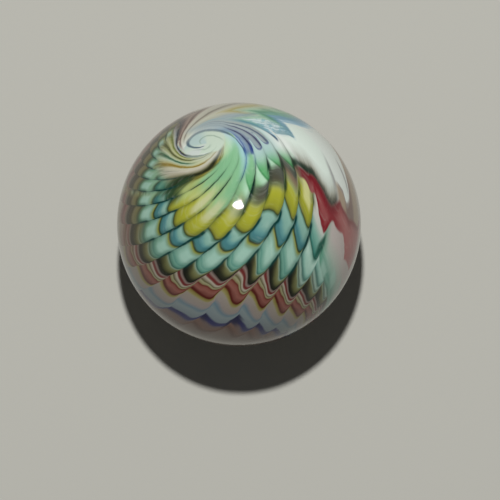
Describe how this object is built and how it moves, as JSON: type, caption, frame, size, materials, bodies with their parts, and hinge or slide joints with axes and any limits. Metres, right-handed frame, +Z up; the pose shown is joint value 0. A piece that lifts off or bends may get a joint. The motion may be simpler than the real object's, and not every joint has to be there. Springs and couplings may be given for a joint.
{
  "type": "glass marble",
  "caption": "Solid round ball of swirled and feathered coloured glass, a large handmade marble for play, display or use as a small paperweight.",
  "frame": {"origin": "centre of the ball", "axes": "+Z up as the marble lies on a table; the eye of the swirl leans from +Z towards +Y and a little towards -X"},
  "size_m": [0.042, 0.042, 0.042],
  "materials": {
    "art_glass": "fire-polished glass, opaque swirled colours under a clear glossy surface"
  },
  "bodies": {
    "root": {"marble": "art_glass"}
  },
  "joints": []
}
